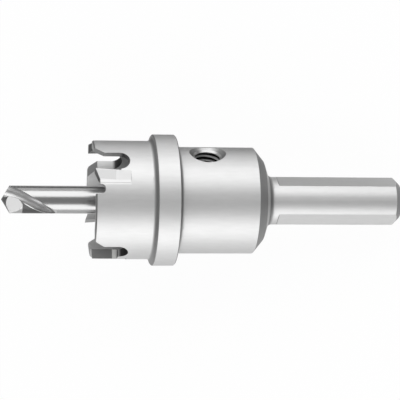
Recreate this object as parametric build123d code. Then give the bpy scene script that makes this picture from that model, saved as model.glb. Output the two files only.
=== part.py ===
from build123d import *
import os
from math import atan2, cos, radians, sin, tan

# Carbide-tipped hole saw for sheet metal: a turned body with cup, stop collar, hub and
# three-flat shank, four brazed cutting tips, a pilot drill and the screw that clamps it.
#
# The tool is drawn in its own frame, in millimetres. Its axis is Z, with zero at the front
# face of the stop collar, the teeth towards -Z and the shank towards +Z. Seen from the
# shank it turns clockwise, so a tooth cuts towards smaller angles about Z. At the end every
# piece is laid down in the row's frame, as the tool lies on a table: on the rear edges of
# its collar and hub, with the drill raised.

# Shank, for a three-jaw chuck
SHANK_D = 10.0
SHANK_END_Z = 52.7
SHANK_CHAMFER = 1.35
FLAT_FROM_AXIS = 4.57
FLAT_START_Z = 26.25
FLAT_RUN_OUT_R = 0.4
INDEX_ANGLE = -62.0             # the clamping screw and one shank flat share this angle

# Hub and stop collar
COLLAR_D = 27.3
COLLAR_W = 4.75
COLLAR_EDGE = 0.2
HUB_D = 22.2
HUB_END_Z = 21.2
HUB_CHAMFER_L = 2.05
HUB_NOSE_R = 8.6
NOSE_CONE = 20.0                # degrees, from a flat end face
SHANK_ROOT_FILLET = 1.3
CORNER_FILLET = 1.0

# Cup
CUP_D = 24.6
WALL = 1.6
RIM_Z = -12.44
RIM_CHAMFER = 0.28
FLOOR_Z = 1.0

# Teeth, as (angle of the cutting face, angle of the gullet, outer corner and inner corner
# ahead of the rim)
TEETH = (
    (-29.5, -29.5, 0.00, 0.08),
    (-109.3, -116.2, 0.28, 0.36),
    (-201.5, -200.1, 0.38, 0.38),
    (-280.0, -287.4, 0.00, 0.08),
)
RAKE_TILT = 4.2                 # the cutting face leans forward towards the tip
RELIEF = 20.0
TIP_L = 4.95
TIP_T = 2.1
TIP_INNER_R = 10.35
SEAT_DEPTH = 5.2
SEAT_FLOOR_GAP = 1.03           # bare seat behind the end of a tip
SEAT_REACH = 1.9                # how far ahead of the cutting face the seat's mill runs

# Gullets, cut by an end mill leaning from the radius
GULLET_START = 0.3
GULLET_W = 4.1
GULLET_END_Z = -5.34
GULLET_LEAN = 7.0
GULLET_CORNER_Z = -10.4
GULLET_CORNER_W = 1.5

# Notch behind each tooth, and the ground clearance on its outside
NOTCH_W = 2.06
NOTCH_END_Z = -10.45
NOTCH_ANGLE = 18.9
NOTCH_LIP_Z = -11.55
NOTCH_LIP_END = 3.6
CLEARANCE = 10.0
CLEARANCE_W = 2.05
CLEARANCE_END_Z = -5.25
CLEARANCE_WHEEL_R = 4.0

# Clamping screw, M6
SCREW_Z = 11.12
SCREW_D = 6.0
SCREW_L = 5.0
SCREW_SINK_D = 7.6
SOCKET_AF = 3.0
SOCKET_DEPTH = 2.4
SCREW_POINT_D = 4.0
SCREW_EDGE = 0.5
HOLE_PAST_FLAT = 0.5

# Pilot drill
DRILL_D = 5.74
DRILL_TIP_Z = -31.0
DRILL_END_Z = 17.0
DRILL_END_CHAMFER = 0.4
POINT_ANGLE = 118.0
FLUTE_LEAD = 28.0
FLUTE_END_Z = -19.6
FLUTE_RUN_OUT = 3.2
FLUTE_R = 1.28
FLUTE_FROM_AXIS = 2.03
FLUTE_ANGLE = -47.0             # middle of one flute at the drill's outer corner
FACET_ANGLE = 25.0              # middle of the ground facet behind a cutting lip
FACET_SLOPE = 22.0
FACET_REACH_Z = -26.8
DRILL_FLAT_R = 2.3
DRILL_FLAT_L = 9.0
BORE_END_Z = 17.6

RUN_PAST = 1.5                  # how far the cutters run past a surface

shank_r, collar_r, hub_r, cup_r = SHANK_D / 2, COLLAR_D / 2, HUB_D / 2, CUP_D / 2
cup_inner_r = cup_r - WALL
drill_r = DRILL_D / 2
point_l = drill_r / tan(radians(POINT_ANGLE / 2))
corner_z = DRILL_TIP_Z + point_l


def near(vertices, r, z):
    """The vertex of a flat profile that lies nearest to radius r and height z."""
    return min(vertices, key=lambda v: (v.X - r) ** 2 + (v.Z - z) ** 2)


def turned_blank():
    """Cup, collar, hub and shank as one turned piece, with the blind bore for the drill."""
    nose_z = HUB_END_Z + HUB_CHAMFER_L
    root_z = nose_z + (HUB_NOSE_R - shank_r) * tan(radians(NOSE_CONE))
    bore_tip_z = BORE_END_Z + point_l
    points = [
        (cup_inner_r, RIM_Z),
        (cup_r - RIM_CHAMFER, RIM_Z),
        (cup_r, RIM_Z + RIM_CHAMFER),
        (cup_r, 0),
        (collar_r - COLLAR_EDGE, 0),
        (collar_r, COLLAR_EDGE),
        (collar_r, COLLAR_W - COLLAR_EDGE),
        (collar_r - COLLAR_EDGE, COLLAR_W),
        (hub_r, COLLAR_W),
        (hub_r, HUB_END_Z),
        (HUB_NOSE_R, nose_z),
        (shank_r, root_z),
        (shank_r, SHANK_END_Z - SHANK_CHAMFER),
        (shank_r - SHANK_CHAMFER, SHANK_END_Z),
        (0, SHANK_END_Z),
        (0, bore_tip_z),
        (drill_r, BORE_END_Z),
        (drill_r, FLOOR_Z),
        (cup_inner_r, FLOOR_Z),
    ]
    profile = make_face(Plane.XZ * Polyline(*points, close=True))
    for r, z, radius in (
        (cup_r, 0, CORNER_FILLET),
        (hub_r, COLLAR_W, CORNER_FILLET),
        (shank_r, root_z, SHANK_ROOT_FILLET),
    ):
        profile = fillet(near(profile.vertices(), r, z), radius)
    return revolve(profile, Axis.Z)


def shank_flat():
    """Cutter for one clamping flat, with the small radius that a mill leaves at its start."""
    z_end = SHANK_END_Z + RUN_PAST
    points = [
        (FLAT_FROM_AXIS, FLAT_START_Z),
        (shank_r + RUN_PAST, FLAT_START_Z),
        (shank_r + RUN_PAST, z_end),
        (FLAT_FROM_AXIS, z_end),
    ]
    outline = make_face(Plane.XZ * Polyline(*points, close=True))
    outline = fillet(near(outline.vertices(), FLAT_FROM_AXIS, FLAT_START_Z), FLAT_RUN_OUT_R)
    return extrude(outline, amount=shank_r, both=True)


def screw_axis_plane(distance):
    """Plane across the clamping screw's hole, at a distance from the tool's axis."""
    angle = radians(INDEX_ANGLE)
    out = Vector(cos(angle), sin(angle), 0)
    return Plane(out * distance + Vector(0, 0, SCREW_Z), x_dir=(0, 0, 1), z_dir=out)


def screw_hole():
    """Cutter for the threaded hole, at its major diameter, and its countersink."""
    sink_l = (SCREW_SINK_D - SCREW_D) / 2
    depth = hub_r - DRILL_FLAT_R + HOLE_PAST_FLAT
    up = (Align.CENTER, Align.CENTER, Align.MIN)
    hole = screw_axis_plane(hub_r - depth) * Cylinder(SCREW_D / 2, depth + RUN_PAST, align=up)
    wide = SCREW_SINK_D / 2 + RUN_PAST
    sink = screw_axis_plane(hub_r - sink_l) * Cone(SCREW_D / 2, wide, sink_l + RUN_PAST, align=up)
    return hole + sink


def ahead(points):
    """Outline seen from outside a tooth, from (distance ahead of the cutting face, z)."""
    return make_face(Plane.YZ * Polyline(*[(-u, z) for u, z in points], close=True))


def through_wall(outline):
    """An outline from ahead(), carried along the radius through the cup's wall. It starts
    further in than the wall, which curves away on both sides of the tooth."""
    inside = 2 * RUN_PAST
    depth = inside + WALL + RUN_PAST
    return Pos(cup_inner_r - inside, 0, 0) * extrude(outline, amount=depth, dir=(1, 0, 0))


def gullet():
    """Cutter for the chip space ahead of a tooth at angle zero: a slot with a round end,
    whose far side opens out at the rim. The mill leans, so the slot leads on the inside.
    """
    r = GULLET_W / 2
    z_c = GULLET_END_Z - r
    far = GULLET_START + GULLET_W
    z_out = RIM_Z - RUN_PAST
    spread = GULLET_CORNER_W / (GULLET_CORNER_Z - RIM_Z)
    outline = ahead([
        (GULLET_START, z_out),
        (GULLET_START, z_c),
        (far, z_c),
        (far, GULLET_CORNER_Z),
        (far + spread * (GULLET_CORNER_Z - z_out), z_out),
    ])
    outline += Plane.YZ * Pos(-GULLET_START - r, z_c) * Circle(r)
    return through_wall(outline).rotate(Axis((cup_r, 0, 0), (0, 0, 1)), GULLET_LEAN)


def seat():
    """Cutter for the leaning face that carries a tip's cutting face."""
    z_floor = RIM_Z + SEAT_DEPTH
    z_out = RIM_Z - RUN_PAST
    lead = tan(radians(RAKE_TILT)) * (z_floor - z_out)
    return through_wall(ahead([
        (0, z_floor), (lead, z_out), (SEAT_REACH, z_out), (SEAT_REACH, z_floor),
    ]))


def tip_stock(length):
    """Rectangular bar behind the cutting face, from the tip's inner end towards the rim."""
    a = radians(RAKE_TILT)
    along = Vector(sin(a), -cos(a))
    back = Vector(-cos(a), -sin(a))
    start = Vector(0, RIM_Z + SEAT_DEPTH) + along * SEAT_FLOOR_GAP
    corners = (start, start + along * length, start + along * length + back * TIP_T,
               start + back * TIP_T)
    return through_wall(ahead([(c.X, c.Y) for c in corners]))


def clearance():
    """Cutter for the ground flat behind the outer edge of a tooth and the run-out of its
    wheel, from the rim to the end of the gullet."""
    slope = tan(radians(CLEARANCE))
    foot = Vector(cup_r - CLEARANCE_W * slope, CLEARANCE_W)
    a = radians(CLEARANCE)
    centre = foot + Vector(cos(a), sin(a)) * CLEARANCE_WHEEL_R
    beside_x = foot.X + CLEARANCE_WHEEL_R
    flat = make_face(Polyline(
        (cup_r + slope, -1), (foot.X, foot.Y), (beside_x, foot.Y), (beside_x, -1), close=True
    ))
    wheel = Pos(centre.X, centre.Y) * Circle(CLEARANCE_WHEEL_R)
    beyond = Pos(centre.X, centre.Y) * Rectangle(
        2 * CLEARANCE_WHEEL_R, CLEARANCE_WHEEL_R, align=(Align.CENTER, Align.MIN))
    beside = Pos(foot.X, foot.Y) * Rectangle(
        CLEARANCE_WHEEL_R, centre.Y - foot.Y, align=(Align.MIN, Align.MIN))
    profile = flat + (wheel & (beyond + beside))
    z_out = RIM_Z - RUN_PAST
    return Pos(0, 0, z_out) * extrude(profile, amount=CLEARANCE_END_Z - z_out)


def rim_relief():
    """Cutter that slopes the rim back behind a tip, down to the lip of the notch."""
    z_out = RIM_Z - RUN_PAST
    lead = tan(radians(RAKE_TILT)) * SEAT_DEPTH
    drop = NOTCH_LIP_Z - RIM_Z
    lip = lead - drop / tan(radians(RELIEF))
    return through_wall(ahead([
        (lead, z_out), (lead, RIM_Z), (lip, NOTCH_LIP_Z), (-NOTCH_LIP_END, NOTCH_LIP_Z),
        (-NOTCH_LIP_END, z_out),
    ]))


def notch():
    """Cutter for the round notch in the rim behind a tooth."""
    r = NOTCH_W / 2
    z_c = NOTCH_END_Z - r
    z_out = RIM_Z - RUN_PAST
    outline = ahead([(-r, z_out), (-r, z_c), (r, z_c), (r, z_out)])
    outline += Plane.YZ * Pos(0, z_c) * Circle(r)
    return Rot(Z=NOTCH_ANGLE) * through_wall(outline)


def carbide_tip(outer_ahead, inner_ahead):
    """One brazed tip at angle zero. Its front slopes back from the cutting edge, and its
    outer side is ground with the body's."""
    lead = tan(radians(RAKE_TILT)) * (SEAT_DEPTH + inner_ahead)
    z_back = RIM_Z + SEAT_DEPTH
    shift = (RUN_PAST - lead) * tan(radians(RELIEF))
    front = [
        (TIP_INNER_R, z_back),
        (TIP_INNER_R, RIM_Z - inner_ahead - shift),
        (cup_r, RIM_Z - outer_ahead - shift),
        (cup_r, z_back),
    ]
    face = make_face(Plane.XZ.offset(RUN_PAST) * Polyline(*front, close=True))
    back = Vector(0, cos(radians(RELIEF)), sin(radians(RELIEF)))
    sloped = extrude(face, amount=(TIP_T + 2 * RUN_PAST) / back.Y, dir=back)
    turned = Cylinder(cup_r, 2 * (SEAT_DEPTH - RIM_Z))
    return (tip_stock(TIP_L + RUN_PAST) & sloped & turned) - clearance()


def cutter_body():
    """The turned blank with its flats, screw hole, gullets, seats and ground clearances."""
    body = turned_blank()
    for k in range(3):
        body -= Rot(Z=INDEX_ANGLE + 120 * k) * shank_flat()
    body -= screw_hole()
    slot = gullet()
    cutters = [seat(), tip_stock(TIP_L + RUN_PAST), clearance(), rim_relief(), notch()]
    for angle, gullet_angle, _, _ in TEETH:
        body -= Rot(Z=gullet_angle) * slot
        for cutter in cutters:
            body -= Rot(Z=angle) * cutter
    return body


def flute():
    """Cutter for one flute: a round rod wound about the drill's axis, from the tip to the
    flute's end, with its middle at FLUTE_ANGLE at the drill's outer corner."""
    length = FLUTE_END_Z - DRILL_TIP_Z
    at_tip = FLUTE_ANGLE - 360 * point_l / FLUTE_LEAD
    section = (Pos(FLUTE_FROM_AXIS, 0) * Circle(FLUTE_R)).face()
    rod = Solid.extrude_linear_with_rotation(
        section, (0, 0, 0), (0, 0, length), 360 * length / FLUTE_LEAD
    )
    return Pos(0, 0, DRILL_TIP_Z) * Rot(Z=at_tip) * rod


def lip_facet():
    """Cutter for the ground facet behind a cutting lip, steep to the drill's axis."""
    slope = radians(FACET_SLOPE)
    plane = Plane((drill_r, 0, FACET_REACH_Z), x_dir=(0, 1, 0), z_dir=(cos(slope), 0, -sin(slope)))
    up = (Align.CENTER, Align.CENTER, Align.MIN)
    side = 4 * DRILL_D
    return Rot(Z=FACET_ANGLE) * (plane * Box(side, side, side, align=up))


def pilot_drill():
    """Two-flute twist drill: fluted nose, plain shank and the flat that the screw holds."""
    blank = make_face(Plane.XZ * Polyline(
        (0, DRILL_TIP_Z), (drill_r, corner_z), (drill_r, DRILL_END_Z - DRILL_END_CHAMFER),
        (drill_r - DRILL_END_CHAMFER, DRILL_END_Z), (0, DRILL_END_Z), close=True))
    web_r = FLUTE_FROM_AXIS - FLUTE_R
    run_out = revolve(make_face(Plane.XZ * Polyline(
        (0, FLUTE_END_Z - FLUTE_RUN_OUT), (web_r, FLUTE_END_Z - FLUTE_RUN_OUT),
        (drill_r, FLUTE_END_Z), (0, FLUTE_END_Z), close=True)), Axis.Z)
    drill = revolve(blank, Axis.Z)
    for k in range(2):
        drill -= Rot(Z=180 * k) * (flute() - run_out)
        drill -= Rot(Z=180 * k) * lip_facet()
    flat = Box(DRILL_D, 2 * DRILL_D, DRILL_FLAT_L, align=(Align.MIN, Align.CENTER, Align.CENTER))
    return drill - Rot(Z=INDEX_ANGLE) * Pos(DRILL_FLAT_R, 0, SCREW_Z) * flat


def clamping_screw():
    """Headless screw with a hexagon socket, its flat point on the drill's flat."""
    r = SCREW_D / 2
    point = (SCREW_D - SCREW_POINT_D) / 2
    profile = make_face(Plane.XZ * Polyline(
        (0, 0), (SCREW_POINT_D / 2, 0), (r, point), (r, SCREW_L - SCREW_EDGE),
        (r - SCREW_EDGE, SCREW_L), (0, SCREW_L), close=True))
    screw = revolve(profile, Axis.Z)
    socket = extrude(RegularPolygon(SOCKET_AF / 2, 6, major_radius=False), amount=SOCKET_DEPTH)
    screw -= Pos(0, 0, SCREW_L - SOCKET_DEPTH) * socket
    return screw_axis_plane(DRILL_FLAT_R) * screw


def lying_down():
    """Where the tool's frame sits in the row's frame: the shank end dips until the rear
    edges of collar and hub both touch the table, and the box is centred on the origin."""
    collar_edge_z = COLLAR_W - COLLAR_EDGE
    dip = atan2(collar_r - hub_r, HUB_END_Z - collar_edge_z)
    height = collar_r * cos(dip) + collar_edge_z * sin(dip)
    front = DRILL_TIP_Z * cos(dip)
    rear = SHANK_END_Z * cos(dip) + (shank_r - SHANK_CHAMFER) * sin(dip)
    axis = Vector(cos(dip), 0, -sin(dip))
    return Plane((-(front + rear) / 2, 0, height), x_dir=(sin(dip), 0, cos(dip)), z_dir=axis)


def main():
    pieces = {
        "cutter_body": cutter_body(),
        "pilot_drill": pilot_drill(),
        "clamping_screw": clamping_screw(),
    }
    for k, (angle, _, outer_ahead, inner_ahead) in enumerate(TEETH):
        pieces[f"carbide_tip_{k + 1}"] = Rot(Z=angle) * carbide_tip(outer_ahead, inner_ahead)
    os.makedirs("parts", exist_ok=True)
    laid = lying_down()
    for name, piece in pieces.items():
        export_step(laid * piece, f"parts/{name}.step")


main()
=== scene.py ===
import bpy
from math import atan2, cos, pi, radians, sin, tan
from mathutils import Matrix


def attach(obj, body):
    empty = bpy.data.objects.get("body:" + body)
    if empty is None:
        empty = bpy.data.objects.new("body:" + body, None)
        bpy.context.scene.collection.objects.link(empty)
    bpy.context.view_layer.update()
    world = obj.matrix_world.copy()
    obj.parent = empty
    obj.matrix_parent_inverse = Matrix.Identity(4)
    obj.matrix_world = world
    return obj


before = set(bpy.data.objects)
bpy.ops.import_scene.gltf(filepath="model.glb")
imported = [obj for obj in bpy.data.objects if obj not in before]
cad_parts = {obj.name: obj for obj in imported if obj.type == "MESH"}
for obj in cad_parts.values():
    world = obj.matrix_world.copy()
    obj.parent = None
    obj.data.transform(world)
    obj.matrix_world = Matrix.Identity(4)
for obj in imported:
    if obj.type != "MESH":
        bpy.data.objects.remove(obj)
bpy.context.view_layer.update()


# ---- Cutter body -----------------------------------------------------------------------
# Cup, stop collar, hub and shank, turned from one bar of tool steel, then milled for the
# gullets, notches and shank flats. It is nickel plated over a fine satin finish, so it
# mirrors the lamps as wide, soft bands.

def linear(hex_colour):
    """An sRGB hex colour as the linear RGBA that a shader's socket takes."""
    parts = [int(hex_colour[i:i + 2], 16) / 255 for i in (1, 3, 5)]
    return [c / 12.92 if c <= 0.04045 else ((c + 0.055) / 1.055) ** 2.4 for c in parts] + [1.0]


def add_node(tree, kind, inputs=(), **settings):
    """Adds a node. Each input takes a value, or another node's output to link from."""
    node = tree.nodes.new(kind)
    for name, value in settings.items():
        setattr(node, name, value)
    for name, value in dict(inputs).items():
        if isinstance(value, bpy.types.NodeSocket):
            tree.links.new(value, node.inputs[name])
        else:
            node.inputs[name].default_value = value
    return node


def new_material(name, roughness, hex_colour=None, metallic=1.0):
    """A material with one Principled shader. A patterned one gets its colour later."""
    material = bpy.data.materials.new(name)
    material.use_nodes = True
    shader = material.node_tree.nodes["Principled BSDF"]
    shader.inputs["Metallic"].default_value = metallic
    shader.inputs["Roughness"].default_value = roughness
    if hex_colour:
        shader.inputs["Base Color"].default_value = linear(hex_colour)
    return material, material.node_tree, shader


def finish_in_layers(tree, shader, base, layers):
    """Colours a metal: the base, and over it each (hex colour, mask) where the mask is 1."""
    colour = linear(base)
    for hex_colour, mask in layers:
        colour = add_node(
            tree, "ShaderNodeMix", {"A": colour, "B": linear(hex_colour), "Factor": mask},
            data_type="RGBA",
        ).outputs["Result"]
    tree.links.new(colour, shader.inputs["Base Color"])


def dress(node_name, material):
    """Gives a CAD node its finish, in every material slot that it has."""
    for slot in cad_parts[node_name].material_slots:
        slot.material = material


# The rear edges of the collar and the hub touch the table, so the shank end lies low. The
# tool's own frame has X along the axis towards the shank, and zero at the collar's front.
COLLAR_R, COLLAR_EDGE_X = 0.01365, 0.00455
HUB_R, HUB_EDGE_X = 0.0111, 0.0212
TOOL_DIP = atan2(COLLAR_R - HUB_R, HUB_EDGE_X - COLLAR_EDGE_X)
TOOL_HEIGHT = COLLAR_R * cos(TOOL_DIP) + COLLAR_EDGE_X * sin(TOOL_DIP)
TOOL_ORIGIN = (-0.011001, 0.0, TOOL_HEIGHT)


def tool_coordinates(tree):
    """Object coordinates turned into the tool's own frame, in metres."""
    place = add_node(tree, "ShaderNodeTexCoord").outputs["Object"]
    turned = {"Vector": place, "Location": TOOL_ORIGIN, "Rotation": (0, TOOL_DIP, 0)}
    return add_node(tree, "ShaderNodeMapping", turned, vector_type="TEXTURE").outputs["Vector"]


def tool_normal(tree):
    """The surface's normal turned into the tool's own frame."""
    normal = add_node(tree, "ShaderNodeNewGeometry").outputs["Normal"]
    turned = {"Vector": normal, "Angle": -TOOL_DIP}
    return add_node(
        tree, "ShaderNodeVectorRotate", turned, rotation_type="Y_AXIS"
    ).outputs["Vector"]


plated, tree, shader = new_material("nickel_plated_turned_steel", 0.54)

# The satin is drawn lengthwise. Its real streaks are a tenth of a millimetre wide, too fine
# to show, so they are drawn about six times coarser.
STREAK_LENGTH, STREAK_WIDTH = 0.002857, 0.000625
along = tool_coordinates(tree)
streaks = add_node(tree, "ShaderNodeMapping", {
    "Vector": along, "Scale": (1 / STREAK_LENGTH, 1 / STREAK_WIDTH, 1 / STREAK_WIDTH),
}).outputs["Vector"]
satin = add_node(tree, "ShaderNodeTexNoise", {
    "Vector": streaks, "Scale": 1.0, "Detail": 4.0, "Roughness": 0.6,
}).outputs["Fac"]
relief = add_node(tree, "ShaderNodeBump", {
    "Height": satin, "Strength": 0.15, "Distance": 0.00002,
}).outputs["Normal"]
tree.links.new(relief, shader.inputs["Normal"])

# Chamfers, fillets and faces across the axis get painted shade, darker for the dark ends of
# the room that they mirror. The nose between the hub and the shank is left out of it, as a
# painted highlight. Both are told by how far the normal leans along the axis, from 0 on a
# cylinder to 1 on a face across it.
CYLINDER_LEAN, FULL_SHADE_LEAN = 0.2, 0.55
NOSE_LEAN, NOSE_SPREAD = 0.94, 0.04
lean = add_node(tree, "ShaderNodeSeparateXYZ", {"Vector": tool_normal(tree)}).outputs["X"]
either_way = add_node(tree, "ShaderNodeMath", {0: lean}, operation="ABSOLUTE").outputs["Value"]
across = add_node(tree, "ShaderNodeMapRange", {
    "Value": either_way, "From Min": CYLINDER_LEAN, "From Max": FULL_SHADE_LEAN,
}).outputs["Result"]
painted_nose_highlight = add_node(
    tree, "ShaderNodeMath", {0: lean, 1: NOSE_LEAN, 2: NOSE_SPREAD}, operation="COMPARE"
).outputs["Value"]
painted_edge_shade = add_node(
    tree, "ShaderNodeMath", {0: across, 1: painted_nose_highlight}, operation="SUBTRACT"
).outputs["Value"]

# The round ends of the gullets face the teeth, so there the lean is below 0. They get painted
# shade, dark for the deep recess that mirrors the dark inside of the cup.
SIDE_LEAN, END_LEAN = -0.05, -0.4
GULLET_END_X, GULLET_END_REACH = -0.007, 0.003
facing_teeth = add_node(tree, "ShaderNodeMapRange", {
    "Value": lean, "From Min": SIDE_LEAN, "From Max": END_LEAN,
}).outputs["Result"]
station = add_node(tree, "ShaderNodeSeparateXYZ", {"Vector": along}).outputs["X"]
at_gullets = add_node(
    tree, "ShaderNodeMath", {0: station, 1: GULLET_END_X, 2: GULLET_END_REACH},
    operation="COMPARE",
).outputs["Value"]
painted_recess_shade = add_node(
    tree, "ShaderNodeMath", {0: facing_teeth, 1: at_gullets}, operation="MULTIPLY"
).outputs["Value"]

# The wall of the tapped hole for the clamping screw, up to the lip that the countersink leaves,
# gets painted shade, dark for the deep, narrow hole.
SCREW_X = 0.01112
SCREW_ANGLE = radians(62)               # round the tool's axis, from the top towards +Y
WALL_R = 0.003004                       # just over the thread's outer radius
WALL_TOP = 0.0098                       # from the tool's axis
hole = add_node(
    tree, "ShaderNodeMapping",
    {"Vector": along, "Location": (SCREW_X, 0, 0), "Rotation": (-SCREW_ANGLE, 0, 0)},
    vector_type="TEXTURE",
).outputs["Vector"]
sideways = add_node(
    tree, "ShaderNodeVectorMath", {0: hole, 1: (1, 1, 0)}, operation="MULTIPLY"
).outputs["Vector"]
off_axis = add_node(
    tree, "ShaderNodeVectorMath", {0: sideways}, operation="LENGTH"
).outputs["Value"]
within = add_node(
    tree, "ShaderNodeMath", {0: off_axis, 1: WALL_R}, operation="LESS_THAN"
).outputs["Value"]
height = add_node(tree, "ShaderNodeSeparateXYZ", {"Vector": hole}).outputs["Z"]
below_lip = add_node(
    tree, "ShaderNodeMath", {0: height, 1: WALL_TOP / 2, 2: WALL_TOP / 2}, operation="COMPARE"
).outputs["Value"]
tapped = add_node(
    tree, "ShaderNodeMath", {0: within, 1: below_lip}, operation="MULTIPLY"
).outputs["Value"]

# Satin streaks over the base, then painted shade: on the faces across the axis (not the nose), in
# the gullets' round ends and in the tapped hole.
finish_in_layers(tree, shader, "#c6c6c6", (
    ("#d2d2d2", satin), ("#9a9a9a", painted_edge_shade), ("#424242", painted_recess_shade), ("#2c2c2c", tapped),
))
dress("cutter_body", plated)


# ---- Cutting tips ----------------------------------------------------------------------
# Four blocks of tungsten carbide, sintered and brazed into the seats. The relief face and
# the back keep the dark grey of the sintered skin; the cutting face and the inner side are
# ground, and the outer side was ground last, together with the body, so it is brightest.

# Cosines of the angles within which a face counts as one that looks a certain way
SIDEWAYS_FACE, ONWARDS_FACE = 0.85, 0.8

carbide, tree, shader = new_material("ground_tungsten_carbide", 0.42)
sideways = add_node(
    tree, "ShaderNodeVectorMath", {0: tool_coordinates(tree), 1: (0, 1, 1)}, operation="MULTIPLY"
).outputs["Vector"]
outwards = add_node(
    tree, "ShaderNodeVectorMath", {0: sideways}, operation="NORMALIZE"
).outputs["Vector"]
onwards = add_node(
    tree, "ShaderNodeVectorMath", {0: outwards, 1: (1, 0, 0)}, operation="CROSS_PRODUCT"
).outputs["Vector"]
looks_out, looks_on = (
    add_node(
        tree, "ShaderNodeVectorMath", {0: tool_normal(tree), 1: direction},
        operation="DOT_PRODUCT",
    ).outputs["Value"]
    for direction in (outwards, onwards)
)
inner_side = add_node(
    tree, "ShaderNodeMath", {0: looks_out, 1: -SIDEWAYS_FACE}, operation="LESS_THAN"
).outputs["Value"]
cutting_face = add_node(
    tree, "ShaderNodeMath", {0: looks_on, 1: ONWARDS_FACE}, operation="GREATER_THAN"
).outputs["Value"]
outer_side = add_node(
    tree, "ShaderNodeMath", {0: looks_out, 1: SIDEWAYS_FACE}, operation="GREATER_THAN"
).outputs["Value"]
finish_in_layers(tree, shader, "#484848", (
    ("#a6a6a6", inner_side), ("#a6a6a6", cutting_face), ("#b0b0b0", outer_side),
))
for k in range(4):
    dress(f"carbide_tip_{k + 1}", carbide)


# ---- Braze at the tips -----------------------------------------------------------------
# Silver solder that flowed out of each joint and wetted the bare end of the seat behind
# the tip. It is a film 0.06 mm thick, matt and pale.

TOOTH_ANGLES = (29.5, 109.3, 201.5, 280.0)  # of the cutting faces, from the top towards +Y
SEAT_LEAN = radians(4.2)
SEAT_END_X, WALL_MIDDLE_R = -0.00724, 0.01132
FILM_LENGTH, FILM_THICKNESS, FILM_WIDTH = 0.00098, 0.00006, 0.0018
FILM_GAP = 0.00003                      # from the seat's end

TOOL_FRAME = Matrix.Translation(TOOL_ORIGIN) @ Matrix.Rotation(TOOL_DIP, 4, "Y")
braze, tree, shader = new_material("silver_braze", 0.8, "#e4e4e2", metallic=0.3)
for k, angle in enumerate(TOOTH_ANGLES):
    bpy.ops.object.select_all(action="DESELECT")
    bpy.ops.mesh.primitive_cube_add(size=1, location=(0, 0, 0))
    film = bpy.context.object
    film.name = f"braze_film_{k + 1}"
    film.matrix_world = (
        TOOL_FRAME @ Matrix.Rotation(-radians(angle), 4, "X")
        @ Matrix.Translation((SEAT_END_X, 0, WALL_MIDDLE_R)) @ Matrix.Rotation(-SEAT_LEAN, 4, "Z")
        @ Matrix.Translation((-FILM_GAP - FILM_LENGTH / 2, FILM_THICKNESS / 2, 0))
        @ Matrix.Diagonal((FILM_LENGTH, FILM_THICKNESS, FILM_WIDTH, 1))
    )
    bpy.ops.object.transform_apply(location=True, rotation=True, scale=True)
    edge = film.modifiers.new("soft_edge", "BEVEL")
    edge.width = FILM_THICKNESS / 3
    edge.segments = 2
    bpy.ops.object.modifier_apply(modifier="soft_edge")
    film.data.materials.append(braze)
    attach(film, "root")


# ---- Pilot drill -----------------------------------------------------------------------
# Twist drill of high-speed steel, held in the hub's bore by the clamping screw. Its shank,
# margins and flutes are ground bright, and the lands behind the margins keep the dark skin
# of the heat treatment.

DRILL_R = 0.00287
GROUND_DEPTH = 0.00003                  # from the full radius to where the flutes begin
POINT_SLOPE = 1 / tan(radians(59))      # along the axis per unit of radius, half the point
POINT_SPREAD = 0.00004
TIP_X = -0.031
FLUTE_TURN = 2 * pi / 0.028             # per metre: the flutes go round once in 28 mm
FLUTE_AT_CORNER = radians(47)           # middle of one flute at the drill's outer corner
LAND_MIDDLE, LAND_HALF = radians(-66), radians(38)      # from the flute's middle
LAND_MIDDLE_X, LAND_REACH = -0.02332, 0.00338
FINE_GRIND, COARSE_GRIND = 0.25, 0.45   # roughness

drill_steel, tree, shader = new_material("ground_high_speed_steel", FINE_GRIND)
place = tool_coordinates(tree)
split = add_node(tree, "ShaderNodeSeparateXYZ", {"Vector": place})
x, y, z = (split.outputs[axis] for axis in "XYZ")
sideways = add_node(
    tree, "ShaderNodeVectorMath", {0: place, 1: (0, 1, 1)}, operation="MULTIPLY"
).outputs["Vector"]
radius = add_node(
    tree, "ShaderNodeVectorMath", {0: sideways}, operation="LENGTH"
).outputs["Value"]

# The land follows the flute round the drill, and runs out where the flute does.
corner_x = TIP_X + DRILL_R * POINT_SLOPE
turned = add_node(
    tree, "ShaderNodeMath",
    {0: x, 1: FLUTE_TURN, 2: -corner_x * FLUTE_TURN - FLUTE_AT_CORNER}, operation="MULTIPLY_ADD",
).outputs["Value"]
angle = add_node(tree, "ShaderNodeMath", {0: y, 1: z}, operation="ARCTAN2").outputs["Value"]
untwisted = add_node(
    tree, "ShaderNodeMath", {0: angle, 1: turned}, operation="ADD"
).outputs["Value"]
from_flute = add_node(
    tree, "ShaderNodeMath", {0: untwisted, 1: 0.0, 2: -2 * pi}, operation="WRAP"
).outputs["Value"]
behind_margin = add_node(
    tree, "ShaderNodeMath", {0: from_flute, 1: LAND_MIDDLE, 2: LAND_HALF}, operation="COMPARE"
).outputs["Value"]
fluted = add_node(
    tree, "ShaderNodeMath", {0: x, 1: LAND_MIDDLE_X, 2: LAND_REACH}, operation="COMPARE"
).outputs["Value"]
land = add_node(
    tree, "ShaderNodeMath", {0: behind_margin, 1: fluted}, operation="MULTIPLY"
).outputs["Value"]

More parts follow.
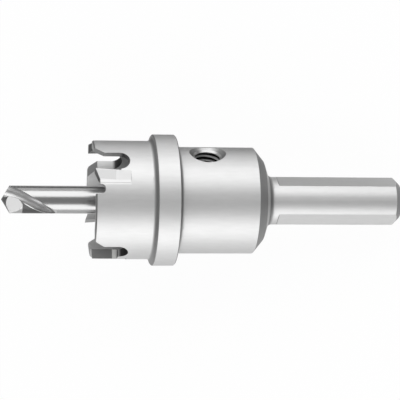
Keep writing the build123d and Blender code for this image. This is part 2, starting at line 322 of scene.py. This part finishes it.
# The flutes and the point, which lie inside the full radius, have the coarser finish of the
# flute wheel. The cone at the tip is left darker.
inside = add_node(
    tree, "ShaderNodeMath", {0: radius, 1: DRILL_R - GROUND_DEPTH}, operation="LESS_THAN"
).outputs["Value"]
cone_tip = add_node(
    tree, "ShaderNodeMath", {0: radius, 1: -POINT_SLOPE, 2: x}, operation="MULTIPLY_ADD"
).outputs["Value"]
cone = add_node(
    tree, "ShaderNodeMath", {0: cone_tip, 1: TIP_X, 2: POINT_SPREAD}, operation="COMPARE"
).outputs["Value"]
finish_in_layers(tree, shader, "#aaaaaa", (
    ("#545454", land), ("#c8c8c8", inside), ("#6a6a6a", cone),
))
coarse = add_node(
    tree, "ShaderNodeMath", {0: inside, 1: land}, operation="MAXIMUM"
).outputs["Value"]
roughness = add_node(tree, "ShaderNodeMapRange", {
    "Value": coarse, "To Min": FINE_GRIND, "To Max": COARSE_GRIND,
}).outputs["Result"]
tree.links.new(roughness, shader.inputs["Roughness"])
dress("pilot_drill", drill_steel)


# ---- Thread of the screw hole ----------------------------------------------------------
# The M6 thread that was tapped into the hub for the clamping screw: a ridge of the same
# steel as the hub, 1 mm from turn to turn, that runs from the screw's end up to the lip
# which the countersink leaves round the mouth.

# Outlines as (distance from the hole's axis, distance from the tool's axis)
RIDGE = ((0.00302, 0.00732), (0.0026, 0.00756), (0.0026, 0.00776), (0.00302, 0.008))
LIP = ((0.00302, 0.00948), (0.00262, 0.00971), (0.00262, 0.00992), (0.00302, 0.01031))

cut_steel, tree, shader = new_material("tapped_thread_steel", 0.4, "#bcbcbc")
for name, outline, pitch, count in (
    ("screw_hole_thread", RIDGE, 0.001, 2), ("countersink_lip", LIP, 0.0, 1),
):
    bpy.ops.object.select_all(action="DESELECT")
    bpy.ops.mesh.primitive_circle_add(
        vertices=4, radius=0.001, fill_type="NOTHING", location=(0, 0, 0)
    )
    thread = bpy.context.object
    thread.name = name
    for vertex, (r, z) in zip(thread.data.vertices, outline):
        vertex.co = (r, 0, z)
    turns = thread.modifiers.new("turns", "SCREW")
    turns.axis = "Z"
    turns.screw_offset = pitch
    turns.iterations = count
    turns.steps = turns.render_steps = 64
    turns.use_merge_vertices = True
    turns.merge_threshold = 0.00001
    bpy.ops.object.modifier_apply(modifier="turns")
    bpy.ops.object.mode_set(mode="EDIT")
    bpy.ops.mesh.select_all(action="SELECT")
    bpy.ops.mesh.fill_holes(sides=4)
    bpy.ops.mesh.select_all(action="SELECT")
    bpy.ops.mesh.normals_make_consistent(inside=False)
    bpy.ops.object.mode_set(mode="OBJECT")
    bpy.ops.object.shade_smooth_by_angle(angle=radians(25))
    thread.matrix_world = (
        TOOL_FRAME @ Matrix.Translation((SCREW_X, 0, 0)) @ Matrix.Rotation(-SCREW_ANGLE, 4, "X")
    )
    bpy.ops.object.transform_apply(location=True, rotation=True, scale=True)
    thread.data.materials.append(cut_steel)
    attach(thread, "root")


# ---- Clamping screw --------------------------------------------------------------------
# Headless screw with a hexagon socket, of hardened steel with a black oxide finish, turned
# into the hub until its point holds the drill.

black_steel, tree, shader = new_material("black_oxide_steel", 0.45, "#303030")
dress("clamping_screw", black_steel)


# ---- Table -----------------------------------------------------------------------------
# A plain white table top, seen as pure white with the tool's soft shadow on it. Metal
# mirrors it as the lamps light it, with a little of that white added.

SEEN_GLOW, MIRRORED_GLOW = 0.95, 0.2

bpy.ops.object.select_all(action="DESELECT")
bpy.ops.mesh.primitive_circle_add(vertices=96, radius=1.2, fill_type="NGON", location=(0, 0, 0))
table = bpy.context.object
table.name = "table_top"
white = bpy.data.materials.new("white_table")
white.use_nodes = True
tree = white.node_tree
tree.nodes.clear()
paint = add_node(tree, "ShaderNodeBsdfDiffuse", {"Color": linear("#f3f3f3")}).outputs["BSDF"]
glow = add_node(
    tree, "ShaderNodeEmission", {"Color": linear("#ffffff"), "Strength": 1.0}
).outputs["Emission"]
ray = add_node(tree, "ShaderNodeLightPath").outputs
mirrored = add_node(
    tree, "ShaderNodeMath", {0: ray["Is Glossy Ray"], 1: ray["Is Transmission Ray"]},
    operation="ADD",
).outputs["Value"]
faint = add_node(
    tree, "ShaderNodeMath", {0: mirrored, 1: MIRRORED_GLOW}, operation="MULTIPLY"
).outputs["Value"]
share = add_node(
    tree, "ShaderNodeMath", {0: ray["Is Camera Ray"], 1: SEEN_GLOW, 2: faint},
    operation="MULTIPLY_ADD",
).outputs["Value"]
surface = add_node(tree, "ShaderNodeMixShader", {0: share, 1: paint, 2: glow}).outputs["Shader"]
add_node(tree, "ShaderNodeOutputMaterial", {"Surface": surface})
table.data.materials.append(white)


# ---- Light and camera ------------------------------------------------------------------
# Two large softboxes stand along the tool, one on each side, and the room above is dim. A
# black flag beyond each end keeps the faces that look along the tool dark. A grey card lies on
# the table along the far side, seen only in reflections: a painted shadow, standing in for the
# tool's shadow there, so that the far edge mirrors it darker.

for name, side, height, tilt, depth, watts in (
    ("softbox_right", -1, 0.26, radians(62), 0.5, 2.75),
    ("softbox_left", 1, 0.345, radians(53), 0.58, 3.2),
):
    bpy.ops.object.light_add(type="AREA", location=(0, side * 0.476, height))
    softbox = bpy.context.object
    softbox.name = name
    softbox.data.shape = "RECTANGLE"
    softbox.data.size = 0.9
    softbox.data.size_y = depth
    softbox.data.energy = watts
    softbox.rotation_euler = (-side * tilt, 0, 0)

black_cloth, tree, shader = new_material("black_cloth", 1.0, "#101010", metallic=0.0)
# A grey card seen only in reflections, as painted shadow of the tool on the table
shadow_card, tree, shader = new_material("shadow_card", 1.0, "#686868", metallic=0.0)
for name, place, size, turned, material in (
    ("black_flag_front", (-0.16, 0, 0.03), (0.06, 0.5, 1), pi / 2, black_cloth),
    ("black_flag_rear", (0.16, 0, 0.05), (0.1, 0.5, 1), pi / 2, black_cloth),
    ("painted_shadow_card_far_side", (0, 0.029, 0.0003), (0.12, 0.026, 1), 0, shadow_card),
):
    bpy.ops.mesh.primitive_plane_add(size=1, location=place, rotation=(0, turned, 0))
    flag = bpy.context.object
    flag.name = name
    flag.scale = size
    bpy.ops.object.transform_apply(location=True, rotation=True, scale=True)
    flag.visible_camera = False
    flag.visible_diffuse = False
    flag.visible_shadow = False
    flag.data.materials.append(material)

world = bpy.data.worlds.new("studio")
bpy.context.scene.world = world
world.use_nodes = True
tree = world.node_tree
tree.nodes.clear()
room, backdrop = (
    add_node(
        tree, "ShaderNodeBackground", {"Color": linear("#ffffff"), "Strength": strength}
    ).outputs["Background"]
    for strength in (0.38, 1.0)
)
seen = add_node(tree, "ShaderNodeLightPath").outputs["Is Camera Ray"]
sky = add_node(tree, "ShaderNodeMixShader", {0: seen, 1: room, 2: backdrop}).outputs["Shader"]
add_node(tree, "ShaderNodeOutputWorld", {"Surface": sky})

bpy.ops.object.camera_add(location=(0.00173, 0.00008, 0.38439))
camera = bpy.context.object
camera.rotation_euler = (0, radians(0.387), radians(0.292))
camera.data.sensor_width = 36.0
camera.data.lens = 160.2
bpy.context.scene.camera = camera
bpy.context.scene.view_settings.view_transform = "Standard"
